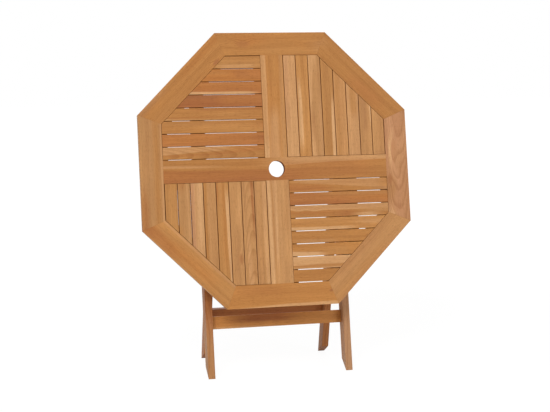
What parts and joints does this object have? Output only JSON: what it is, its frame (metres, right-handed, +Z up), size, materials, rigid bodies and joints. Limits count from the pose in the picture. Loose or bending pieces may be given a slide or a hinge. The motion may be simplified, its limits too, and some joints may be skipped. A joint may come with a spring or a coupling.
{
  "type": "umbrella table",
  "caption": "Octagonal slatted folding table with a parasol hole, its top tipped up and its crossed legs nearly closed for storage.",
  "frame": {"origin": "on the floor, under the middle of the bounding box of the table in its tipped-up pose", "axes": "+X to the right and +Z up, seen from the good face of the top, which looks towards -Y and slightly up"},
  "size_m": [1.2, 0.3948, 1.4877],
  "materials": {
    "teak_rim": "fine sanded, bare or thinly oiled",
    "teak_bar": "fine sanded, bare or thinly oiled",
    "teak_slat": "fine sanded, bare or thinly oiled",
    "teak_batten": "sanded, bare",
    "teak_leg": "fine sanded, bare or thinly oiled",
    "steel": "plain stainless",
    "bush": "moulded"
  },
  "bodies": {
    "pivot": {"pivot_bolts": "steel", "pivot_washers": "steel", "pivot_nuts": "steel"},
    "rear_frame": {"rear_leg_left": "teak_leg", "rear_leg_right": "teak_leg", "rear_stretcher": "teak_leg", "slot_pins": "steel"},
    "front_frame": {"front_leg_left": "teak_leg", "front_leg_right": "teak_leg", "front_stretcher": "teak_leg", "front_upper_rail": "teak_leg"},
    "slot_runner": {"slot_bushes": "bush"},
    "tabletop": {"rim_top": "teak_rim", "rim_upper_right": "teak_rim", "rim_right": "teak_rim", "rim_lower_right": "teak_rim", "rim_bottom": "teak_rim", "rim_lower_left": "teak_rim", "rim_left": "teak_rim", "rim_upper_left": "teak_rim", "cross_bar": "teak_bar", "upper_bar": "teak_bar", "lower_bar": "teak_bar", "slat_upper_left_1": "teak_slat", "slat_upper_left_2": "teak_slat", "slat_upper_left_3": "teak_slat", "slat_upper_left_4": "teak_slat", "slat_upper_left_5": "teak_slat", "slat_upper_left_6": "teak_slat", "slat_upper_left_7": "teak_slat", "slat_upper_left_8": "teak_slat", "slat_upper_right_1": "teak_slat", "slat_upper_right_2": "teak_slat", "slat_upper_right_3": "teak_slat", "slat_upper_right_4": "teak_slat", "slat_upper_right_5": "teak_slat", "slat_upper_right_6": "teak_slat", "slat_upper_right_7": "teak_slat", "slat_upper_right_8": "teak_slat", "slat_lower_left_1": "teak_slat", "slat_lower_left_2": "teak_slat", "slat_lower_left_3": "teak_slat", "slat_lower_left_4": "teak_slat", "slat_lower_left_5": "teak_slat", "slat_lower_left_6": "teak_slat", "slat_lower_left_7": "teak_slat", "slat_lower_left_8": "teak_slat", "slat_lower_right_1": "teak_slat", "slat_lower_right_2": "teak_slat", "slat_lower_right_3": "teak_slat", "slat_lower_right_4": "teak_slat", "slat_lower_right_5": "teak_slat", "slat_lower_right_6": "teak_slat", "slat_lower_right_7": "teak_slat", "slat_lower_right_8": "teak_slat", "batten_left": "teak_batten", "batten_right": "teak_batten", "stop_left": "teak_batten", "stop_right": "teak_batten", "batten_screws": "steel"}
  },
  "joints": [
    {"name": "rear_frame_fold", "type": "hinge", "parent": "pivot", "child": "rear_frame", "pos_m": [0, 0.02861, 0.6646], "axis": [1, 0, 0], "range_deg": [0, 29.76]},
    {"name": "front_frame_fold", "type": "hinge", "parent": "pivot", "child": "front_frame", "pos_m": [0, 0.02861, 0.6646], "axis": [1, 0, 0], "range_deg": [-28.88, 0.02]},
    {"name": "top_tilt", "type": "hinge", "parent": "rear_frame", "child": "slot_runner", "pos_m": [0, -0.02358, 0.91573], "axis": [1, 0, 0], "range_deg": [-107.32, 0.05]},
    {"name": "top_slide", "type": "slide", "parent": "slot_runner", "child": "tabletop", "axis": [0, 0.2163, 0.9763], "range_m": [-0.0001, 0.1906]}
  ],
  "couplings": [
    {"joint": "front_frame_fold", "follows": "rear_frame_fold", "ratio": -0.96959},
    {"joint": "top_tilt", "follows": "rear_frame_fold", "ratio": -3.6045},
    {"joint": "top_slide", "follows": "rear_frame_fold", "m_per_rad": 0.36676}
  ]
}
